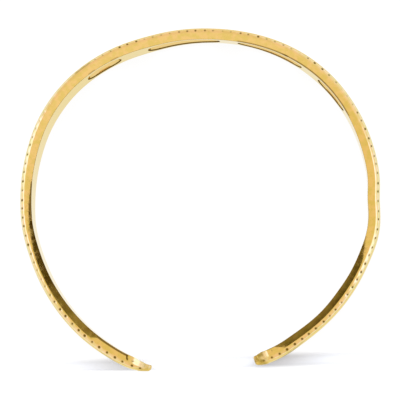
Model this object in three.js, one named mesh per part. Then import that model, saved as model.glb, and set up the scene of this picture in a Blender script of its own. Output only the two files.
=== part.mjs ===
// An open toe ring: one strip of yellow gold bent by hand to a C, lying on its side.
//
// Millimetres. The ring's axis is +Z and the lower side face rests on Z = 0. The gap between
// the tips faces -Y, and the pierced front is opposite it. Angles are in degrees, turning from
// +X towards +Y. Across the strip, "out" is the distance from the inner wall and "rise" is the
// distance from the middle of the strip's width.
import * as THREE from "three";
import { mergeVertices } from "three/addons/utils/BufferGeometryUtils.js";

// Driving dimensions of the strip.
const BAND_WIDTH = 3.0;
const SIDE_THICKNESS = 0.29; // the flat side face, from the inner wall to the beads
const CROWN_THICKNESS = 0.56; // at the middle of the width, where the outer face is domed
const RAIL = 0.4; // metal left between a pierced window and the side face

// The ring's bend: a mean outer radius, out of round by a few broad swells.
const MEAN_RADIUS = 7.98;
const SWELLS = [
  { waves: 2, size: 0.14, peak: 18 },
  { waves: 3, size: 0.078, peak: 21 },
  { waves: 4, size: 0.064, peak: 57 },
];
const FIRST_TIP = -71.2;
const LAST_TIP = 253.5;

// Where the strip was bent by hand a little out of that curve; size is how far outwards.
const KINKS = [
  { middle: -74, size: -0.24, spread: 4 },
  { middle: -65, size: 0.12, spread: 8 },
  { middle: -11, size: 0.07, spread: 7 },
  { middle: 1, size: -0.035, spread: 6 },
  { middle: 188, size: 0.05, spread: 8 },
  { middle: 248, size: 0.09, spread: 6 },
  { middle: 256, size: -0.2, spread: 5 },
];

// Where it is also twisted; size is how much further out the upper edge stands.
const TWISTS = [
  { middle: 42, size: 0.035, spread: 16 },
  { middle: 80, size: -0.09, spread: 18 },
  { middle: 142, size: 0.03, spread: 30 },
  { middle: 226, size: 0.05, spread: 18 },
];

// Milgrain: a row of small beads along both edges of the outer face.
const BEADS = 110;
const BEAD_WIDTH = 0.3;
const BEAD_THICKNESS = 0.485; // from the inner wall to the top of a bead
const PIT_THICKNESS = 0.42; // from the inner wall to the notch between two beads
const GROOVE_THICKNESS = 0.405; // the channel between the beads and the domed face
const BEAD_STEPS = [0, 0.24, 0.76]; // along one bead, from one notch to the next

// The tongue-shaped tips.
const TONGUE_LENGTH = 0.85;
const TIP_HALF_WIDTH = 0.5;
const TIP_THINNING = 0.7; // share of the thickness left at the very tip
const THINNED_LENGTH = 0.5;

// Windows pierced through the front, each with round ends and walls that slope in outwards.
const WINDOWS = [
  { from: 34, to: 47.5 },
  { from: 54, to: 77.5 },
  { from: 83.5, to: 109 },
  { from: 119, to: 132.5 },
];
const WINDOW_END = 0.62; // length of a window's rounded end, along the strip
const WINDOW_FLARE = 0.28; // share of its height lost between the inner and the outer face
const END_STEPS = 4; // facets in a quarter turn, at a window's end or a tip

const GOLD = { color: 0xe6b84e, roughness: 0.12, metalness: 1.0 };

const HALF_WIDTH = BAND_WIDTH / 2;
const WINDOW_HALF_HEIGHT = HALF_WIDTH - RAIL;
const MM_PER_DEGREE = THREE.MathUtils.degToRad(MEAN_RADIUS);
const BEAD_TURN = (LAST_TIP - FIRST_TIP) / BEADS;

// Height of a quarter ellipse of height 1, at a share of its length from its sharp end.
const quarterEllipse = (share) => Math.sqrt(1 - (1 - Math.min(share, 1)) ** 2);

// Sum at an angle of the rounded humps in a table.
function humps(angle, table) {
  return table.reduce(
    (sum, { middle, size, spread }) =>
      sum + size * Math.exp(-(((angle - middle) / spread) ** 2)),
    0,
  );
}

function outerRadius(angle) {
  return SWELLS.reduce(
    (radius, { waves, size, peak }) =>
      radius + size * Math.cos(THREE.MathUtils.degToRad(waves * (angle - peak))),
    MEAN_RADIUS + humps(angle, KINKS),
  );
}

// Length of strip from an angle to the nearer tip.
function tipDistance(angle) {
  return Math.min(angle - FIRST_TIP, LAST_TIP - angle) * MM_PER_DEGREE;
}

// Half the strip's width, which narrows round the tongue to a short straight end.
function halfWidth(angle) {
  const endShare = 1 - Math.sqrt(1 - (TIP_HALF_WIDTH / HALF_WIDTH) ** 2);
  const share = tipDistance(angle) / TONGUE_LENGTH;
  return HALF_WIDTH * quarterEllipse(endShare + share * (1 - endShare));
}

// Share of the full thickness: the inner wall is filed back at the tips.
function thinning(angle) {
  const grown = THREE.MathUtils.smoothstep(tipDistance(angle), 0, THINNED_LENGTH);
  return THREE.MathUtils.lerp(TIP_THINNING, 1, grown);
}

// Half the height of the window open at an angle, or 0 where the strip is whole.
function windowHalfHeight(angle) {
  const open = WINDOWS.find(({ from, to }) => angle > from && angle < to);
  if (!open) return 0;
  const toEnd = Math.min(angle - open.from, open.to - angle) * MM_PER_DEGREE;
  return WINDOW_HALF_HEIGHT * quarterEllipse(toEnd / WINDOW_END);
}

// The angles at which the strip's section is taken: along every bead, and closer together
// round the ends of the windows and the tips.
function sectionAngles() {
  const beadAngles = Array.from({ length: BEADS }, (_, bead) =>
    BEAD_STEPS.map((step) => FIRST_TIP + (bead + step) * BEAD_TURN),
  );
  const endShares = Array.from(
    { length: END_STEPS + 1 },
    (_, step) => 1 - Math.cos((step / END_STEPS) * (Math.PI / 2)),
  );
  const windowTurns = endShares.map((share) => (share * WINDOW_END) / MM_PER_DEGREE);
  const tipTurns = endShares.map((share) => (share * TONGUE_LENGTH) / MM_PER_DEGREE);
  const fixed = [
    ...WINDOWS.flatMap(({ from, to }) =>
      windowTurns.flatMap((turn) => [from + turn, to - turn]),
    ),
    ...tipTurns.flatMap((turn) => [FIRST_TIP + turn, LAST_TIP - turn]),
  ];
  const clearance = BEAD_TURN / 12;
  const spare = beadAngles
    .flat()
    .filter((angle) => fixed.every((other) => Math.abs(other - angle) > clearance));
  return [...fixed, ...spare].sort((a, b) => a - b);
}

// Thickness of the domed outer face, falling from the crown to the groove by the beads.
function domeThickness(rise, grooveRise) {
  return (
    CROWN_THICKNESS - (CROWN_THICKNESS - GROOVE_THICKNESS) * (rise / grooveRise) ** 2
  );
}

// Half of the strip's section, as points { out, rise } from the middle of the inner wall,
// or a window's edge there, round the side face and the beads to the outer face.
function halfSection(angle) {
  const edge = halfWidth(angle);
  const opening = windowHalfHeight(angle);
  const bead = Math.abs(((angle - FIRST_TIP) / BEAD_TURN) % 1);
  const inNotch = Math.min(bead, 1 - bead) < BEAD_STEPS[1] / 2;
  const grooveRise = edge - BEAD_WIDTH;
  const outerOpening = opening * (1 - WINDOW_FLARE);
  const domeRise = (grooveRise + outerOpening) / 2;
  const full = [
    { out: 0, rise: opening },
    { out: 0, rise: edge },
    { out: SIDE_THICKNESS, rise: edge },
    { out: inNotch ? PIT_THICKNESS : BEAD_THICKNESS, rise: edge - BEAD_WIDTH / 2 },
    { out: GROOVE_THICKNESS, rise: grooveRise },
    { out: domeThickness(domeRise, grooveRise), rise: domeRise },
    { out: domeThickness(outerOpening, grooveRise), rise: outerOpening },
  ];
  const share = thinning(angle);
  return full.map(({ out, rise }) => ({ out: out * share, rise }));
}

// A section point's place on the ring; side is 1 for the upper half and -1 for the lower.
function place({ out, rise }, angle, side) {
  const innerRadius = outerRadius(angle) - CROWN_THICKNESS * thinning(angle);
  const leaning = ((side * rise) / BAND_WIDTH) * humps(angle, TWISTS);
  const radius = innerRadius + out + leaning;
  const turned = THREE.MathUtils.degToRad(angle);
  return new THREE.Vector3(
    radius * Math.cos(turned),
    radius * Math.sin(turned),
    HALF_WIDTH + side * rise,
  );
}

// Two triangles over four corners; flipped turns their faces round.
function quad(a, b, c, d, flipped) {
  return flipped ? [a, c, b, a, d, c] : [a, b, c, a, c, d];
}

// The skin of one half of the strip between two sections.
function skin(here, next, side) {
  return here
    .slice(1)
    .flatMap((corner, j) => quad(here[j], corner, next[j + 1], next[j], side < 0));
}

// A window's wall between two sections, from the inner wall to the outer face.
function windowWall(here, next, side) {
  return quad(here[0], next[0], next.at(-1), here.at(-1), side < 0);
}

// The flat end of a tip, over the whole section there.
function tipFace(angle, facing) {
  const half = halfSection(angle);
  const outline = [
    ...half.map((point) => ({ ...point, side: 1 })),
    ...half.slice(1, -1).reverse().map((point) => ({ ...point, side: -1 })),
  ];
  const flat = outline.map(({ out, rise, side }) => new THREE.Vector2(out, side * rise));
  return THREE.ShapeUtils.triangulateShape(flat, [])
    .flatMap(([a, b, c]) => (facing < 0 ? [a, b, c] : [a, c, b]))
    .map((index) => place(outline[index], angle, outline[index].side));
}

// Joins equal corners and drops the triangles that close to nothing where a window ends.
function closedGeometry(corners) {
  const merged = mergeVertices(new THREE.BufferGeometry().setFromPoints(corners), 1e-4);
  const index = merged.index.array;
  const kept = [];
  for (let i = 0; i < index.length; i += 3) {
    const [a, b, c] = index.slice(i, i + 3);
    if (a !== b && b !== c && c !== a) kept.push(a, b, c);
  }
  merged.setIndex(kept);
  return merged;
}

function bandGeometry() {
  const angles = sectionAngles();
  const corners = [];
  for (const side of [1, -1]) {
    const sections = angles.map((angle) =>
      halfSection(angle).map((point) => place(point, angle, side)),
    );
    for (let i = 0; i + 1 < sections.length; i++) {
      corners.push(...skin(sections[i], sections[i + 1], side));
      if (windowHalfHeight((angles[i] + angles[i + 1]) / 2) > 0)
        corners.push(...windowWall(sections[i], sections[i + 1], side));
    }
  }
  corners.push(...tipFace(FIRST_TIP, -1), ...tipFace(LAST_TIP, 1));
  const geometry = closedGeometry(corners);
  geometry.computeVertexNormals();
  return geometry;
}

const ring = new THREE.Group();
const band = new THREE.Mesh(bandGeometry(), new THREE.MeshStandardMaterial(GOLD));
band.name = "band";
ring.add(band);

// The origin is under the middle of the ring's box.
band.geometry.computeBoundingBox();
const middle = band.geometry.boundingBox.getCenter(new THREE.Vector3());
ring.position.set(-middle.x, -middle.y, 0);

export default ring;
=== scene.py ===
# The finished look of an open gold toe ring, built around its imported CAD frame.
#
# The ring lies on its side on a pale floor, its axis along +Z and the gap between its tips
# facing -Y. Lengths are in metres. Angles along the strip are in degrees, turning from +X
# towards +Y. Across the strip, "out" is the distance from the inner wall and "rise" is the
# distance from the middle of the strip's width.

import math

import bmesh
import bpy
import numpy as np
from mathutils import Matrix, Vector


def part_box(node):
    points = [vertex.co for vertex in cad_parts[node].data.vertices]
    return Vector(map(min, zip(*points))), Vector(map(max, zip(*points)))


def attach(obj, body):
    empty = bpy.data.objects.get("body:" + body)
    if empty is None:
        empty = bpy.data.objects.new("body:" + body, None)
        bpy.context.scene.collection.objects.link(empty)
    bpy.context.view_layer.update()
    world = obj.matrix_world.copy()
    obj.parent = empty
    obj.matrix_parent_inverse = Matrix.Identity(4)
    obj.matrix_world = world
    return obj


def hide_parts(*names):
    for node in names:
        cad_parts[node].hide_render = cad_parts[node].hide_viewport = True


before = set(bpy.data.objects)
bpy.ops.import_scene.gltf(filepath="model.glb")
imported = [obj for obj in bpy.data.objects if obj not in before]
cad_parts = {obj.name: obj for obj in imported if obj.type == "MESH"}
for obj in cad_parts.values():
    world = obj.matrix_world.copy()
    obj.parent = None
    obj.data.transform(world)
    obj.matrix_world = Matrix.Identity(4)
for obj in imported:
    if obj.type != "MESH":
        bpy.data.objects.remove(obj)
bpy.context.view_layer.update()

MM = 0.001

# The strip.
BAND_WIDTH = 3.0 * MM
SIDE_THICKNESS = 0.29 * MM
CROWN_THICKNESS = 0.56 * MM
SHOULDER_THICKNESS = 0.43 * MM  # where the domed face starts, beside the beads
RAIL = 0.4 * MM  # metal between a window and the side face
INNER_CORNER = 0.005 * MM  # radius of the corner between the inner wall and the side face
SOFT_EDGE = 0.02 * MM  # spacing of the loops that keep the side face flat
CORNER_EDGE = 0.008 * MM  # the same beside the inner corner
EDGE_TURNS = (0.0, 45.0, 90.0)  # degrees round a softened edge at which it has a corner
DOME_SHARES = (0.0, 0.12, 0.4, 0.7, 1.0)  # the same across the domed face, as shares

# The bend: a mean outer radius, a few broad swells (waves, size, angle of the peak), and the
# places where the strip was bent by hand (angle, how far outwards, spread in degrees).
MEAN_RADIUS = 7.98 * MM
SWELLS = ((2, 0.14 * MM, 18.0), (3, 0.078 * MM, 21.0), (4, 0.064 * MM, 57.0))
KINKS = (
    (-74.0, -0.24 * MM, 4.0),
    (-65.5, -0.042 * MM, 4.5),
    (-65.0, 0.12 * MM, 8.0),
    (-11.0, 0.07 * MM, 7.0),
    (1.0, -0.065 * MM, 5.0),
    (108.0, -0.035 * MM, 9.0),
    (136.0, 0.015 * MM, 10.0),
    (164.0, -0.025 * MM, 8.0),
    (188.0, 0.05 * MM, 8.0),
    (200.0, 0.03 * MM, 16.0),
    (248.0, 0.09 * MM, 6.0),
    (248.5, -0.045 * MM, 5.0),
    (256.0, -0.20 * MM, 5.0),
)
# Where the upper edge stands further out than the lower (angle, how far, spread in degrees).
TWISTS = (
    (42.0, 0.035 * MM, 16.0),
    (80.0, -0.09 * MM, 18.0),
    (142.0, 0.03 * MM, 30.0),
    (190.0, -0.03 * MM, 12.0),
)
# Where it was left thicker (angle, how much, spread in degrees).
THICKER = (
    (-60.0, 0.035 * MM, 9.0),
    (-33.0, 0.035 * MM, 7.0),
    (-14.0, 0.02 * MM, 7.0),
    (20.0, 0.025 * MM, 12.0),
    (225.0, 0.045 * MM, 19.0),
)
FIRST_TIP = -71.2
LAST_TIP = 253.5

# Milgrain beads along both edges of the outer face.
BEADS = 110
BEAD_WIDTH = 0.3 * MM
BEAD_THICKNESS = 0.485 * MM
GROOVE_THICKNESS = 0.405 * MM
BEAD_SHARES = (0.0, 0.05, 0.1, 0.17, 0.3, 0.5, 0.7, 0.83, 0.9, 0.95)  # sections along a bead
BEAD_FACETS = 14  # round its half-round top
GROOVE_TONE = 0.3  # brown in the groove beside the beads: partly polish left there, partly painted shade
PIT_RADIUS = 0.069 * MM  # the round pits between the beads
PIT_DEPTH = 0.02 * MM
PIT_SINK = PIT_DEPTH * math.sqrt(0.5)  # towards the inner wall, and as much downwards
PIT_TURN = 54.0  # how far round the half-round bead they lie, from the side face
# Where the pits lie nearer the side face or further from it (angle, degrees, spread).
PIT_DRIFT = (
    (-60.0, -16.0, 22.0),
    (0.0, 20.0, 16.0),
    (90.0, -10.0, 20.0),
    (228.0, -26.0, 25.0),
)
# Where wear has rubbed the pits bright (angle, share, spread).
RUBBED = (
    (-35.0, 0.25, 12.0),
    (15.0, 0.25, 14.0),
    (37.0, 0.55, 8.0),
    (56.0, 0.65, 3.0),
    (66.0, 0.45, 4.0),
    (82.0, 0.55, 6.0),
    (104.0, 0.45, 12.0),
    (124.0, 0.40, 5.0),
    (141.0, 0.85, 8.0),
    (155.0, 0.45, 6.0),
    (170.0, 0.25, 10.0),
    (208.0, 0.35, 12.0),
)
SMEAR = (129.0, 134.0, 0.5, 2.0)  # polish left along the row (from, to, tone, fade)

# The tongue-shaped tips. A pair of values is for the first tip and for the last.
TONGUE_LENGTHS = (0.85 * MM, 1.25 * MM)
TIP_HALF_WIDTH = 0.5 * MM
TIP_THINNING = (0.7, 0.5)  # share of the thickness left at the very tip
THINNED_LENGTHS = (0.5 * MM, 1.0 * MM)
TIP_ROUNDING = 0.1 * MM
TIP_TURNS = (30.0, 60.0, 90.0)  # degrees round that rounding at which it has a section
WORN_LENGTH = 0.62 * MM  # where the shine is rubbed off
WORN_FADE = 0.2 * MM
TIP_WEAR = (1.0, 0.5)

# Windows pierced through the front (first angle, last angle).
WINDOWS = ((32.4, 46.0), (52.9, 76.8), (83.0, 109.0), (119.0, 132.5))
WINDOW_END = 0.62 * MM  # length of a window's rounded end, along the strip
WINDOW_EDGE = 0.05 * MM  # radius of its softened inner and outer edges
WINDOW_FLARE = 0.28  # share of a window's height lost between the inner and the outer face
END_STEPS = 12  # sections round a window's end or a tongue
SAWN_FROM = 0.8  # a sawn wall starts at this share of the strip's thickness
SAWN_TO = 1.3  # and ends at this many times the radius of the inner edge
WALL_COLUMNS = 3  # columns of faces that close it, last in each section
# Painted shade round a window's inner edge, where the window is dark (degrees round it, tone).
# On the upper side only the window's ends have it, in full where they have closed the window by
# RIM_CLOSED.
RIM_TONES = ((0.0, 0.35), (45.0, 0.85), (90.0, 0.6))
RIM_CLOSED = 0.6
RIM_FADE = 0.08  # share of the inner wall over which it fades out
# Windows whose rim has more painted shade (from, to, how much more, fade in degrees).
SHADED_RIMS = ((83.0, 109.0, 0.7, 1.0), (119.0, 132.5, 0.3, 1.0))

# Brown lines along the inner corner, painted shade where the corner is dark (from, to, tone,
# fade in degrees, width on the side face, share of the tone on the inner wall).
CORNER_LINES = (
    (-68.0, -62.0, 0.40, 1.0, 0.02 * MM, 1.0),
    (31.0, 56.5, 0.50, 5.0, 0.05 * MM, 1.0),
    (59.5, 76.0, 0.46, 2.0, 0.05 * MM, 1.0),
    (120.0, 122.0, 0.38, 1.5, 0.05 * MM, 1.0),
    (129.0, 131.0, 0.38, 1.5, 0.05 * MM, 1.0),
    (175.0, 185.0, 0.62, 3.0, 0.05 * MM, 1.0),
    (233.0, 245.0, 0.60, 1.0, 0.08 * MM, 0.0),
)
LINE_ON_WALL = 0.20 * MM  # how far down the inner wall they fade out
# Places across the side face at which it has a corner.
SIDE_STEPS = (0.02 * MM, 0.05 * MM, 0.08 * MM, 0.12 * MM, 0.16 * MM, 0.20 * MM)
# A short slanting cut across the side face (from, to, tone, fade).
NICK = (244.7, 244.8, 1.0, 0.45)
NICK_LENGTH = 0.20 * MM
NICK_SLOPE = 3.5 / MM  # degrees along the strip per length outwards
# Brown marks on the side face (angle, out, size, tone).
SPOTS = (
    (-64.2, 0.11 * MM, 0.05 * MM, 0.6),
    (-65.8, 0.16 * MM, 0.04 * MM, 0.35),
    (247.3, 0.20 * MM, 0.05 * MM, 0.6),
    (247.8, 0.17 * MM, 0.04 * MM, 0.5),
)

HALF_WIDTH = BAND_WIDTH / 2
WINDOW_HALF_HEIGHT = HALF_WIDTH - RAIL
DEGREE_LENGTH = MEAN_RADIUS * math.radians(1)  # along the strip
MIDDLE = (FIRST_TIP + LAST_TIP) / 2  # halfway between the tips
BEAD_TURN = (LAST_TIP - FIRST_TIP) / BEADS
ROUNDING_TURN = TIP_ROUNDING / DEGREE_LENGTH
CLEARANCE = BEAD_TURN / 60  # between a bead's section and that of a window or a tip
MERGE_DISTANCE = 1e-4 * MM

# The beads are punched by hand, so each pit is off its place by up to PIT_SHIFT of a bead, and
# a little larger or smaller.
PIT_SHIFT = 0.08
PIT_SIZE_RANGE = (0.7, 1.15)
PUNCH_SEED = 5
punched = np.random.default_rng(PUNCH_SEED)
PIT_SHIFTS = punched.uniform(-PIT_SHIFT, PIT_SHIFT, BEADS + 1)
PIT_SIZES = punched.uniform(*PIT_SIZE_RANGE, BEADS + 1)

# Noises, as scale and detail, and the ranges in which most of their values lie.
CLOUD = (4500.0, 3.0)
GRAIN = (7500.0, 2.0)
MOTTLE = (5000.0, 3.0)
LENS_MOTTLE = (2400.0, 3.0)
NOISE_RANGE = (0.35, 0.65)
GRAIN_RANGE = (0.45, 0.7)
LENS_RANGE = (0.3, 0.7)

# The gold, clouded between two tones, and the brown painted over it: partly polish left in
# its hollows, partly painted shade in the pits, the groove, round the windows and along the
# inner corner.
GOLD = ((0.755, 0.583, 0.213, 1), (0.848, 0.609, 0.288, 1))
GOLD_SHEEN = (0.91, 0.817, 0.392, 1)  # seen at a glancing angle
SHADED_CUT_GOLD = (0.79, 0.575, 0.23, 1)  # of the sawn walls, a little darker: painted shade inside the windows
WORN_GOLD = ((0.38, 0.25, 0.05, 1), (0.74, 0.51, 0.17, 1))  # of the tips, mottled
# the brown: partly polish left in hollows, partly painted shade
SHADE_AND_STAIN_BROWN = (0.19, 0.115, 0.012, 1)
SHADE_AND_STAIN_SHEEN = (0.12, 0.08, 0.02, 1)
SHADE_AND_STAIN_RANGE = (0.15, 0.75)  # the darkening value at which the brown starts, and at which it is full
POLISH_ROUGHNESS = (0.03, 0.08)
WORN_ROUGHNESS = 0.35
WORN_THROUGH = 0.4  # the wear at which that roughness is reached
SHADE_AND_STAIN_ROUGHNESS = 0.5
GRAIN_DEPTH = 1e-4 * MM

# The camera: almost along the ring's axis, leaning a little towards the lower right.
CAMERA_DISTANCE = 200 * MM
CAMERA_TILT = 2.9  # degrees away from straight above
CAMERA_LEAN = -60.0  # the angle towards which it leans
AIM = Vector((-0.0215 * MM, -0.0085 * MM, 1.5 * MM))
FRAME_WIDTH = 17.89 * MM  # what the picture's width covers at the ring
CAMERA_CLIP = (10 * MM, 20.0)  # the nearest and the furthest that it sees

# The floor is a glowing sheet, with a strip beside the tips that glows less and takes shadows.
FLOOR_HALF = 8.0
STRIP_SLOPE = 0.032  # how much further back it lies per length to the right
STRIP_CUT = (-7.66 * MM, -7.60 * MM)  # its straight front edge, where a shadow is cut off
STRIP_FRONT = (-7.72 * MM, -7.38 * MM)  # where it fades in behind that
STRIP_BACK = (-7.24 * MM, -6.74 * MM)  # and where it fades out
STRIP_SIDES = (-4.0 * MM, 4.0 * MM)  # from its left to its right
STRIP_TINT = ((0.315, 0.332, 0.361, 1), (0.36, 0.38, 0.412, 1))
STRIP_GLOW = (0.31, 0.18)
SHEET_TINT = (0.05, 0.05, 0.05, 1)
SHEET_GLOW = 0.94
SIDE_GLOW = ((1, 1, 1, 1), (1.04, 1.25, 1.95, 1))  # of the middle, beyond the ring's sides
SIDE_GLOW_FROM = (8.8 * MM, 10.4 * MM)

# The lamp over the floor.
SUN_POWER = 4.6
SUN_TILT = 14.0  # from straight down, coming from behind the ring
SUN_SPREAD = 40.0

# The studio. A direction's share along an axis says where in it something starts and ends.
SIDE_AXIS = (0.95, 0.30, 0)
SIDE_FROM = (0.3, 0.8)
FRONT_LIGHT = (1.04, 0.90, 0.74, 1)
SIDE_LIGHT = (1.13, 1.09, 1.16, 1)
BOX_AXIS = (0.13, 1.0, 0)
BOX_HALF_WIDTH = (0.26, 0.42)
BOX_FROM = (0.45, 0.55)
BOX_TO = (0.80, 0.90)
BOX_LIGHT = (1.48, 1.68, 2.52, 1)
TOP_AXIS = (-0.30, 0.95, 0)
TOP_SPLIT = (0.05, 0.08)
TOP_FROM = (0.90, 0.97)
TOP_LIGHT = ((0.986, 0.863, 0.507, 1), (1.078, 0.98, 0.72, 1))
HORIZON = (-0.006, 0.0)  # the floor's white goes on below it
WHITE = (1, 1, 1, 1)

# The lens over the ring, as its places are reflected in the ring's upper face: a glowing card
# seen only in reflections, which paints the dark reflection in the side face, mottled and paler
# at each side.
LENS_HEIGHT = 10 * MM
LENS_LEFT = (0.0 * MM, -0.50 * MM, 7.61 * MM)  # centre and radius of its left side
LENS_LEFT_HEIGHTS = (7.5 * MM, 6.4 * MM)  # the left side's radius downwards and upwards
LENS_RIGHT = (0.0 * MM, -1.30 * MM, 7.37 * MM)  # centre and radius of its right side
LENS_CUT = -6.42 * MM  # the straight lower edge, at x = 0
LENS_CUT_SLOPE = -0.052
LENS_STEP = 4  # degrees between the corners of its round edge
LENS_SPLIT = (-MM, MM)  # where its left side turns to its right
LENS_DARK = ((0.060, 0.034, 0.003, 1), (0.120, 0.094, 0.022, 1))  # mottled
LENS_PALE = ((0.25, 0.20, 0.06, 1), (0.38, 0.32, 0.12, 1))
# How pale the left side is low down and higher up, and the heights between which it turns.
LEFT_PALENESS = (0.95, 0.0)
LEFT_TURNS = (-5.6 * MM, -2.6 * MM)
# The same for the right side, inwards and outwards of a circle.
RIGHT_PALENESS = (0.8, 0.2)
RIGHT_MIDDLE = (-0.33 * MM, 0.43 * MM)
RIGHT_TURNS = (7.78 * MM, 8.1 * MM)


def smooth(share):
    share = np.clip(share, 0, 1)
    return share * share * (3 - 2 * share)


def hump(angle, middle, size, spread):
    return size * np.exp(-(((angle - middle) / spread) ** 2))


def humps(angle, table):
    return sum(hump(angle, *row) for row in table)


def plateau(angle, first, last, size, fade):
    """size between two angles, falling to 0 over fade degrees outside them."""
    past = np.maximum(np.maximum(first - angle, angle - last), 0)
    return size * (1 - smooth(past / fade))


def quarter_ellipse(share):
    """Height of a quarter ellipse of height 1, at a share of its length from its sharp end."""
    return np.sqrt(1 - (1 - np.clip(share, 0, 1)) ** 2)


def outer_radius(angle):
    radius = np.full_like(angle, MEAN_RADIUS)
    for waves, size, peak in SWELLS:
        radius += size * np.cos(np.radians(waves * (angle - peak)))
    return radius + humps(angle, KINKS)


def by_tip(angle, values):
    """The first value on the first tip's half of the strip, the second on the other half."""
    return np.where(angle < MIDDLE, *values)


def tip_distance(angle):
    return np.maximum(np.minimum(angle - FIRST_TIP, LAST_TIP - angle), 0) * DEGREE_LENGTH


def half_width(angle):
    """Half the strip's width, which narrows round the tongue to a short straight end."""
    end_share = 1 - math.sqrt(1 - (TIP_HALF_WIDTH / HALF_WIDTH) ** 2)
    share = tip_distance(angle) / by_tip(angle, TONGUE_LENGTHS)
    return HALF_WIDTH * quarter_ellipse(end_share + share * (1 - end_share))


def thinning(angle):
    """Share of the full thickness: the inner wall is filed back at the tips."""
    grown = smooth(tip_distance(angle) / by_tip(angle, THINNED_LENGTHS))
    left = by_tip(angle, TIP_THINNING)
    return left + (1 - left) * grown


def wear(angle):
    """How much of its shine a tip has lost."""
    return by_tip(angle, TIP_WEAR) * smooth((WORN_LENGTH - tip_distance(angle)) / WORN_FADE)


def window_half_height(angle):
    height = np.zeros_like(angle)
    for first, last in WINDOWS:
        to_end = np.minimum(angle - first, last - angle) * DEGREE_LENGTH
        open_height = WINDOW_HALF_HEIGHT * quarter_ellipse(to_end / WINDOW_END)
        height = np.where(to_end > 0, open_height, height)
    return height


def section_angles():
    """Along every bead, and closer together round the ends of the windows and the tips."""
    beads = FIRST_TIP + (np.arange(BEADS)[:, None] + np.array(BEAD_SHARES)) * BEAD_TURN
    shares = 1 - np.cos(np.linspace(0, math.pi / 2, END_STEPS + 1))
    window_turns = shares * WINDOW_END / DEGREE_LENGTH
    first_turns, last_turns = (shares * length / DEGREE_LENGTH for length in TONGUE_LENGTHS)
    fixed = [FIRST_TIP + first_turns + ROUNDING_TURN, LAST_TIP - last_turns - ROUNDING_TURN]
    for first, last in WINDOWS:
        fixed += [first + window_turns, last - window_turns]
    fixed = np.concatenate(fixed)
    spare = [a for a in beads.ravel() if np.abs(fixed - a).min() > CLEARANCE]
    angles = np.sort(np.concatenate([fixed, spare]))
    return angles[(angles >= fixed.min()) & (angles <= fixed.max())]


# The next functions give the columns of corners that run along the strip, from a window's
# inner edge round to its sawn wall: each yields out, rise, how much brown is painted there
# (painted shade, polish and marks) and cut.


def rim_columns(angle, side, opening, soft):
    """Round a window's inner edge, painted brown as shade in the window."""
    near_end = 1 - opening / WINDOW_HALF_HEIGHT
    rim = (opening > 0) * (1.0 if side < 0 else smooth(near_end / RIM_CLOSED))
    rim = rim * (1 + sum(plateau(angle, *darkness) for darkness in SHADED_RIMS))
    for turn, tone in RIM_TONES:
        turn = math.radians(turn)
        yield soft * (1 - math.sin(turn)), opening + soft * (1 - math.cos(turn)), tone * rim, 0.0


def corner_columns(angle, lines, wall_start, edge):
    """Along the inner wall and round its corner to the side face, with the painted-shade lines.
    """
    line = sum(on_wall * plateau(angle, *darkness) for *darkness, _, on_wall in lines)
    inner_end = edge - INNER_CORNER
    wall_end = inner_end - CORNER_EDGE
    yield 0.0, wall_start + RIM_FADE * (wall_end - wall_start), 0.0, 0.0
    yield 0.0, wall_end - LINE_ON_WALL, 0.0, 0.0
    yield 0.0, wall_end, line, 0.0
    for turn in np.radians(EDGE_TURNS):
        rise = inner_end + INNER_CORNER * math.sin(turn)
        yield INNER_CORNER * (1 - math.cos(turn)), rise, line, 0.0
    yield INNER_CORNER + CORNER_EDGE, edge, line, 0.0


def side_columns(angle, lines, edge):
    """Across the side face, with the painted-shade lines, the nick and the spots."""
    for out in SIDE_STEPS:
        nick = plateau(angle - NICK_SLOPE * out, *NICK) if out <= NICK_LENGTH else 0.0
        spots = sum(
            hump(angle, middle, tone, size / DEGREE_LENGTH) * hump(out, at, 1.0, size)
            for middle, at, size, tone in SPOTS
        )
        line_shade = sum(plateau(angle, *darkness) for *darkness, width, _ in lines if out <= width)
        yield out, edge, np.maximum(line_shade, nick + spots), 0.0
    yield SIDE_THICKNESS - SOFT_EDGE, edge, 0.0, 0.0
    yield SIDE_THICKNESS, edge, 0.0, 0.0


def bead_top(turn):
    """Out and depth below the side face, round a bead's half-round top."""
    across = (1 - np.cos(turn)) / 2
    base = SIDE_THICKNESS + (GROOVE_THICKNESS - SIDE_THICKNESS) * across
    crest = BEAD_THICKNESS - (SIDE_THICKNESS + GROOVE_THICKNESS) / 2
    return base + crest * np.sin(turn), BEAD_WIDTH * across


def bead_columns(angle, edge):
    """Round the row of beads, with a pit between two beads."""
    beads = (angle - FIRST_TIP) / BEAD_TURN
    nearest = np.rint(beads).astype(int)
    beside = (beads - nearest - PIT_SHIFTS[nearest]) * BEAD_TURN * DEGREE_LENGTH
    in_pit = np.exp(-((beside / PIT_RADIUS) ** 2))
    pit_out, pit_depth = bead_top(np.radians(PIT_TURN + humps(angle, PIT_DRIFT)))
    fresh = np.clip(1 - humps(angle, RUBBED), 0, 1)
    smear = plateau(angle, *SMEAR)
    for step in range(1, BEAD_FACETS):
        out, depth = bead_top(math.pi * step / BEAD_FACETS)
        in_row = np.exp(-((out - pit_out) ** 2 + (depth - pit_depth) ** 2) / PIT_RADIUS**2)
        pit = in_pit * in_row * PIT_SIZES[nearest]
        sunk = PIT_SINK * pit * fresh
        # The pits are painted brown: partly polish left in them, partly painted shade.
        yield out - sunk, edge - depth - sunk, np.maximum(pit * fresh, smear * in_row), 0.0


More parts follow.
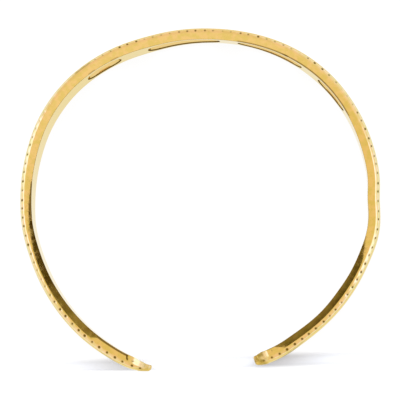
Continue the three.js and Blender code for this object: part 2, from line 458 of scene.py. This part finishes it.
def dome_columns(groove_rise, outer_opening):
    """From the groove beside the beads over the domed face to a window's outer edge."""
    outer_soft = np.minimum(WINDOW_EDGE, outer_opening / 2)
    shoulder_rise = groove_rise - SOFT_EDGE

    def dome(rise):
        fall = (CROWN_THICKNESS - SHOULDER_THICKNESS) * (rise / groove_rise) ** 2
        return CROWN_THICKNESS - fall

    yield GROOVE_THICKNESS, groove_rise, GROOVE_TONE, 0.0
    for share in DOME_SHARES:
        rise = shoulder_rise + share * (outer_opening + outer_soft - shoulder_rise)
        yield dome(rise), rise, 0.0, 0.0
    for turn in np.radians(EDGE_TURNS[1:]):
        rise = outer_opening + outer_soft * (1 - math.sin(turn))
        yield dome(rise) - outer_soft * (1 - math.cos(turn)), rise, 0.0, 0.0


def wall_columns(opening, outer_opening, soft):
    """Back along a window's sawn wall to its inner edge."""
    for out in (SAWN_FROM * CROWN_THICKNESS, soft * SAWN_TO):
        yield out, opening + (outer_opening - opening) * out / CROWN_THICKNESS, 0.0, 1.0


def half_sections(angle, side):
    """The half profile at each angle, with side 1 for the upper half and -1 for the lower.

    Returns out, rise, the brown, cut and worn, each with a row for each angle. The brown says
    how
    much the gold is painted dark: painted shade round the windows' inner edges and along the
    inner corner, polish and painted shade in the pits between the beads and in the groove, and
    brown marks on the side face. cut is 1 on the windows' sawn walls, and worn is 1 where a tip
    has lost its shine.
    """
    edge = half_width(angle)
    opening = window_half_height(angle)
    outer_opening = opening * (1 - WINDOW_FLARE)
    soft = np.minimum(WINDOW_EDGE, opening / 2)
    lines = CORNER_LINES if side > 0 else ()
    columns = [
        *rim_columns(angle, side, opening, soft),
        *corner_columns(angle, lines, opening + soft, edge),
        *side_columns(angle, lines, edge),
        *bead_columns(angle, edge),
        *dome_columns(edge - BEAD_WIDTH, outer_opening),
        *wall_columns(opening, outer_opening, soft),
    ]
    out, rise, stain_and_shade, cut = (
        np.stack([np.broadcast_to(value, angle.shape) for value in part], axis=1)
        for part in zip(*columns)
    )
    thicker = humps(angle, THICKER)[:, None] * np.clip(out / BEAD_THICKNESS, 0, 1)
    worn = np.broadcast_to(wear(angle)[:, None], out.shape)
    return out * thinning(angle)[:, None] + thicker, rise, stain_and_shade, cut, worn


def placed(out, rise, angle, side):
    """The places on the ring of the corners of one half."""
    thickness = CROWN_THICKNESS * thinning(angle) + humps(angle, THICKER)
    inner = (outer_radius(angle) - thickness)[:, None]
    radius = inner + out + side * rise / BAND_WIDTH * humps(angle, TWISTS)[:, None]
    turned = np.radians(angle)[:, None]
    height = HALF_WIDTH + side * rise
    return np.stack([radius * np.cos(turned), radius * np.sin(turned), height], axis=-1)


def rounded_tip(out, rise, angle, outward):
    """More sections past a tip, drawn in towards the section's middle."""
    sections = []
    for turn in np.radians(TIP_TURNS):
        inset = TIP_ROUNDING * (1 - math.cos(turn))
        middle = out.max() / 2
        drawn_out = middle + (out - middle) * (1 - inset / middle)
        drawn_rise = rise * (1 - inset / rise.max())
        past = outward * TIP_ROUNDING * math.sin(turn) / DEGREE_LENGTH
        sections.append((drawn_out, drawn_rise, angle + past))
    return sections


def band_mesh():
    """The corners, the faces, and the values recess, cut and worn at each corner."""
    angle = section_angles()
    top, bottom = (half_sections(angle, side) for side in (1, -1))
    out, rise = top[:2]
    first = rounded_tip(out[0], rise[0], angle[0], -1)[::-1]
    last = rounded_tip(out[-1], rise[-1], angle[-1], 1)
    past_tips = ((len(first), len(last)), (0, 0))
    stain_and_shade, cut, worn = (
        np.concatenate([np.pad(half, past_tips, "edge") for half in pair]).ravel()
        for pair in zip(top[2:], bottom[2:])
    )
    sections = [*first, *zip(out, rise, angle), *last]
    out, rise, angle = (np.array(part) for part in zip(*sections))
    corners = np.concatenate([placed(out, rise, angle, side) for side in (1, -1)])

    # Quads between neighbouring sections, with a window's wall only where the window is open,
    # and one flat face at each tip.
    upper = np.arange(out.size).reshape(out.shape)
    lower = upper + out.size
    is_open = rise[:-1, 0] + rise[1:, 0] > 0
    faces = []
    for ids, turned_round in ((upper, False), (lower, True)):
        across = np.roll(ids, -1, axis=1)
        quads = np.stack([ids[:-1], across[:-1], across[1:], ids[1:]], axis=-1)
        for part in (quads[:, :-WALL_COLUMNS], quads[is_open, -WALL_COLUMNS:]):
            part = part.reshape(-1, 4)
            faces.append(part[:, ::-1] if turned_round else part)
    for row, turned_round in ((0, False), (-1, True)):
        outline = [*upper[row], *lower[row][::-1]]
        faces.append(np.array([outline[::-1] if turned_round else outline]))
    return corners.reshape(-1, 3), faces, {"stain_and_shade": stain_and_shade, "cut": cut, "worn": worn}


def add_object(name, data):
    made = bpy.data.objects.new(name, data)
    bpy.context.scene.collection.objects.link(made)
    return made


def build_band():
    """The band's mesh, centred in plan on the CAD's band."""
    corners, faces, marks = band_mesh()
    mesh = bpy.data.meshes.new("gold_band")
    mesh.from_pydata(corners.tolist(), [], [list(map(int, f)) for part in faces for f in part])
    for name, values in marks.items():
        attribute = mesh.attributes.new(name, "FLOAT", "POINT")
        attribute.data.foreach_set("value", values.astype(np.float32))
    work = bmesh.new()
    work.from_mesh(mesh)
    bmesh.ops.remove_doubles(work, verts=work.verts, dist=MERGE_DISTANCE)
    bmesh.ops.recalc_face_normals(work, faces=work.faces)
    for face in work.faces:
        face.smooth = True
    work.to_mesh(mesh)
    work.free()
    lowest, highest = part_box("band")
    centre = (lowest + highest) / 2
    found = np.array([v.co for v in mesh.vertices])
    own = (found.min(0) + found.max(0)) / 2
    mesh.transform(Matrix.Translation((centre.x - own[0], centre.y - own[1], 0)))
    return add_object("gold_band", mesh)


def new_material(name):
    material = bpy.data.materials.new(name)
    material.use_nodes = True
    return material, material.node_tree.nodes["Principled BSDF"]


def matte_material(name):
    material, shader = new_material(name)
    shader.inputs["Roughness"].default_value = 1.0
    shader.inputs["Specular IOR Level"].default_value = 0.0
    return material, shader


def node(tree, kind, values=(), **settings):
    """A new node with its settings, and inputs given as (socket, value or output socket)."""
    made = tree.nodes.new(kind)
    for name, value in settings.items():
        setattr(made, name, value)
    for socket, value in values:
        if isinstance(value, bpy.types.NodeSocket):
            tree.links.new(value, made.inputs[socket])
        else:
            made.inputs[socket].default_value = value
    return made


def blend(tree, share, low, high):
    """A colour between two, by a share."""
    values = ((0, share), (6, low), (7, high))
    return node(tree, "ShaderNodeMix", values, data_type="RGBA").outputs[2]


def mapped(tree, value, low, high, to_low=0.0, to_high=1.0):
    """A value carried smoothly from one range to another."""
    values = ((0, value), (1, low), (2, high), (3, to_low), (4, to_high))
    made = node(tree, "ShaderNodeMapRange", values, interpolation_type="SMOOTHSTEP")
    return made.outputs[0]


def noise(tree, place, scale, detail):
    values = (("Vector", place), ("Scale", scale), ("Detail", detail))
    return node(tree, "ShaderNodeTexNoise", values).outputs["Fac"]


def along(tree, vector, axis):
    """A vector's share along an axis."""
    values = ((0, vector), (1, axis))
    return node(tree, "ShaderNodeVectorMath", values, operation="DOT_PRODUCT").outputs["Value"]


def distance(tree, place, middle):
    values = ((0, place), (1, middle))
    return node(tree, "ShaderNodeVectorMath", values, operation="DISTANCE").outputs["Value"]


def either_way(tree, value):
    """A value without its sign."""
    return node(tree, "ShaderNodeMath", ((0, value),), operation="ABSOLUTE").outputs[0]


def object_place(tree):
    """The place on the object, and its x and y."""
    place = node(tree, "ShaderNodeTexCoord").outputs["Object"]
    x, y, _ = node(tree, "ShaderNodeSeparateXYZ", ((0, place),)).outputs
    return place, x, y


def gold_material():
    material, shader = new_material("yellow_gold")
    tree = material.node_tree
    place = node(tree, "ShaderNodeTexCoord").outputs["Object"]
    stain_and_shade, cut, worn = (
        node(tree, "ShaderNodeAttribute", attribute_name=name).outputs["Fac"]
        for name in ("stain_and_shade", "cut", "worn")
    )
    clouded = mapped(tree, noise(tree, place, *CLOUD), *NOISE_RANGE)
    mottled = mapped(tree, noise(tree, place, *MOTTLE), *NOISE_RANGE)
    grain = noise(tree, place, *GRAIN)
    # How much brown is painted here: partly polish, partly painted shade.
    darkness = mapped(tree, stain_and_shade, *SHADE_AND_STAIN_RANGE)

    polished = blend(tree, clouded, *GOLD)
    sawn = blend(tree, cut, polished, SHADED_CUT_GOLD)
    gold = blend(tree, worn, sawn, blend(tree, mottled, *WORN_GOLD))
    tree.links.new(blend(tree, darkness, gold, SHADE_AND_STAIN_BROWN), shader.inputs["Base Color"])
    sheen = blend(tree, darkness, GOLD_SHEEN, SHADE_AND_STAIN_SHEEN)
    tree.links.new(sheen, shader.inputs["Specular Tint"])
    shader.inputs["Metallic"].default_value = 1.0

    polish = mapped(tree, grain, *GRAIN_RANGE, *POLISH_ROUGHNESS)
    dulled = mapped(tree, worn, 0.0, WORN_THROUGH, polish, WORN_ROUGHNESS)
    roughness = mapped(tree, darkness, 0.0, 1.0, dulled, SHADE_AND_STAIN_ROUGHNESS)
    tree.links.new(roughness, shader.inputs["Roughness"])
    values = (("Strength", 1.0), ("Distance", GRAIN_DEPTH), ("Height", grain))
    bump = node(tree, "ShaderNodeBump", values)
    tree.links.new(bump.outputs[0], shader.inputs["Normal"])
    return material


def build_camera():
    data = bpy.data.cameras.new("camera")
    data.angle = 2 * math.atan(FRAME_WIDTH / 2 / CAMERA_DISTANCE)
    data.clip_start, data.clip_end = CAMERA_CLIP
    camera = add_object("camera", data)
    tilt, lean = math.radians(CAMERA_TILT), math.radians(CAMERA_LEAN)
    away = Vector(
        (math.sin(tilt) * math.cos(lean), math.sin(tilt) * math.sin(lean), math.cos(tilt))
    )
    right = Vector((0, 1, 0)).cross(away).normalized()
    turn = Matrix((right, away.cross(right), away)).transposed()
    camera.matrix_world = Matrix.Translation(AIM + away * CAMERA_DISTANCE) @ turn.to_4x4()
    bpy.context.scene.camera = camera


def floor_material():
    """White by its own glow, so that only the strip beside the tips shows a shadow."""
    material, shader = matte_material("floor_white")
    tree = material.node_tree
    place, x, y = object_place(tree)
    slanted = along(tree, place, (-STRIP_SLOPE, 1, 0))
    ahead = mapped(tree, slanted, *STRIP_FRONT, 0.0, mapped(tree, y, *STRIP_CUT))
    in_strip = mapped(tree, slanted, *STRIP_BACK, ahead, 0.0)
    to_right = mapped(tree, x, *STRIP_SIDES)
    tint = blend(tree, in_strip, SHEET_TINT, blend(tree, to_right, *STRIP_TINT))
    tree.links.new(tint, shader.inputs["Base Color"])
    strip_glow = mapped(tree, to_right, 0.0, 1.0, *STRIP_GLOW)
    glow = mapped(tree, in_strip, 0.0, 1.0, SHEET_GLOW, strip_glow)
    tree.links.new(glow, shader.inputs["Emission Strength"])
    beside = mapped(tree, either_way(tree, x), *SIDE_GLOW_FROM)
    tree.links.new(blend(tree, beside, *SIDE_GLOW), shader.inputs["Emission Color"])
    return material


def build_floor():
    half = FLOOR_HALF
    mesh = bpy.data.meshes.new("floor")
    corners = [(-half, -half, 0), (half, -half, 0), (half, half, 0), (-half, half, 0)]
    mesh.from_pydata(corners, [], [(0, 1, 2, 3)])
    mesh.materials.append(floor_material())
    floor = add_object("floor", mesh)


def build_sun():
    """A broad lamp that shades only the floor: the gold reflects the studio instead."""
    lamp = bpy.data.lights.new("overhead", "SUN")
    lamp.energy = SUN_POWER
    lamp.angle = math.radians(SUN_SPREAD)
    sun = add_object("overhead", lamp)
    sun.rotation_euler = (math.radians(-SUN_TILT), 0, 0)
    sun.visible_glossy = False


def lens_material():
    """Dark brown and mottled, glowing a little, with a paler part on each side: the painted
    reflection in the side face.
    """
    material, shader = matte_material("lens_reflection_glow")
    shader.inputs["Base Color"].default_value = (0, 0, 0, 1)
    shader.inputs["Emission Strength"].default_value = 1.0
    tree = material.node_tree
    place, x, y = object_place(tree)
    radius = distance(tree, place, (*RIGHT_MIDDLE, BAND_WIDTH + LENS_HEIGHT))
    left_paleness = mapped(tree, y, *LEFT_TURNS, *LEFT_PALENESS)
    right_paleness = mapped(tree, radius, *RIGHT_TURNS, *RIGHT_PALENESS)
    right = mapped(tree, x, *LENS_SPLIT)
    paleness = mapped(tree, right, 0.0, 1.0, left_paleness, right_paleness)
    mottled = mapped(tree, noise(tree, place, *LENS_MOTTLE), *LENS_RANGE)
    dark, pale = (blend(tree, mottled, *tones) for tones in (LENS_DARK, LENS_PALE))
    tree.links.new(blend(tree, paleness, dark, pale), shader.inputs["Emission Color"])
    return material


def build_lens_card():
    """The dark round front of a lens over the ring, seen only in the polished side face: a card
    that glows, and so paints the dark reflection there.

    Its places are given as they are reflected in the ring's upper face, and carried out from
    there along the camera's mirrored lines of sight.
    """
    eye = bpy.context.scene.camera.location
    away = LENS_HEIGHT / CAMERA_DISTANCE
    height = BAND_WIDTH + LENS_HEIGHT
    corners = []
    for turn in np.radians(np.arange(-90, 270, LENS_STEP)):
        centre_x, centre_y, radius = LENS_RIGHT if math.cos(turn) > 0 else LENS_LEFT
        upright = radius if math.cos(turn) > 0 else LENS_LEFT_HEIGHTS[math.sin(turn) > 0]
        x = centre_x + radius * math.cos(turn)
        y = centre_y + upright * math.sin(turn)
        y = max(y, LENS_CUT + LENS_CUT_SLOPE * x)
        corners.append((x + (x - eye.x) * away, y + (y - eye.y) * away, height))
    mesh = bpy.data.meshes.new("lens_reflection_card")
    mesh.from_pydata(corners, [], [tuple(range(len(corners)))])
    mesh.materials.append(lens_material())
    card = add_object("lens_reflection_card", mesh)
    card.visible_camera = card.visible_diffuse = card.visible_shadow = False


def build_world():
    """A pale studio with a soft box on each side, and white below the horizon."""
    world = bpy.data.worlds.new("studio")
    world.use_nodes = True
    tree = world.node_tree
    direction = node(tree, "ShaderNodeTexCoord").outputs["Generated"]
    sideways = either_way(tree, along(tree, direction, SIDE_AXIS))
    beside_box = either_way(tree, along(tree, direction, BOX_AXIS))
    height = along(tree, direction, (0, 0, 1))

    low = blend(tree, mapped(tree, sideways, *SIDE_FROM), FRONT_LIGHT, SIDE_LIGHT)
    in_box = mapped(tree, beside_box, *BOX_HALF_WIDTH, mapped(tree, sideways, *BOX_FROM), 0.0)
    box = blend(tree, in_box, low, BOX_LIGHT)
    around = blend(tree, mapped(tree, sideways, *BOX_TO), box, low)
    top = blend(tree, mapped(tree, along(tree, direction, TOP_AXIS), *TOP_SPLIT), *TOP_LIGHT)
    above = blend(tree, mapped(tree, height, *TOP_FROM), around, top)
    colour = blend(tree, mapped(tree, height, *HORIZON), WHITE, above)
    tree.links.new(colour, tree.nodes["Background"].inputs["Color"])
    bpy.context.scene.world = world
    bpy.context.scene.view_settings.view_transform = "Standard"


build_camera()
build_floor()
build_sun()
build_lens_card()
build_world()
band = build_band()
band.data.materials.append(gold_material())
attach(band, "root")
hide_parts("band")
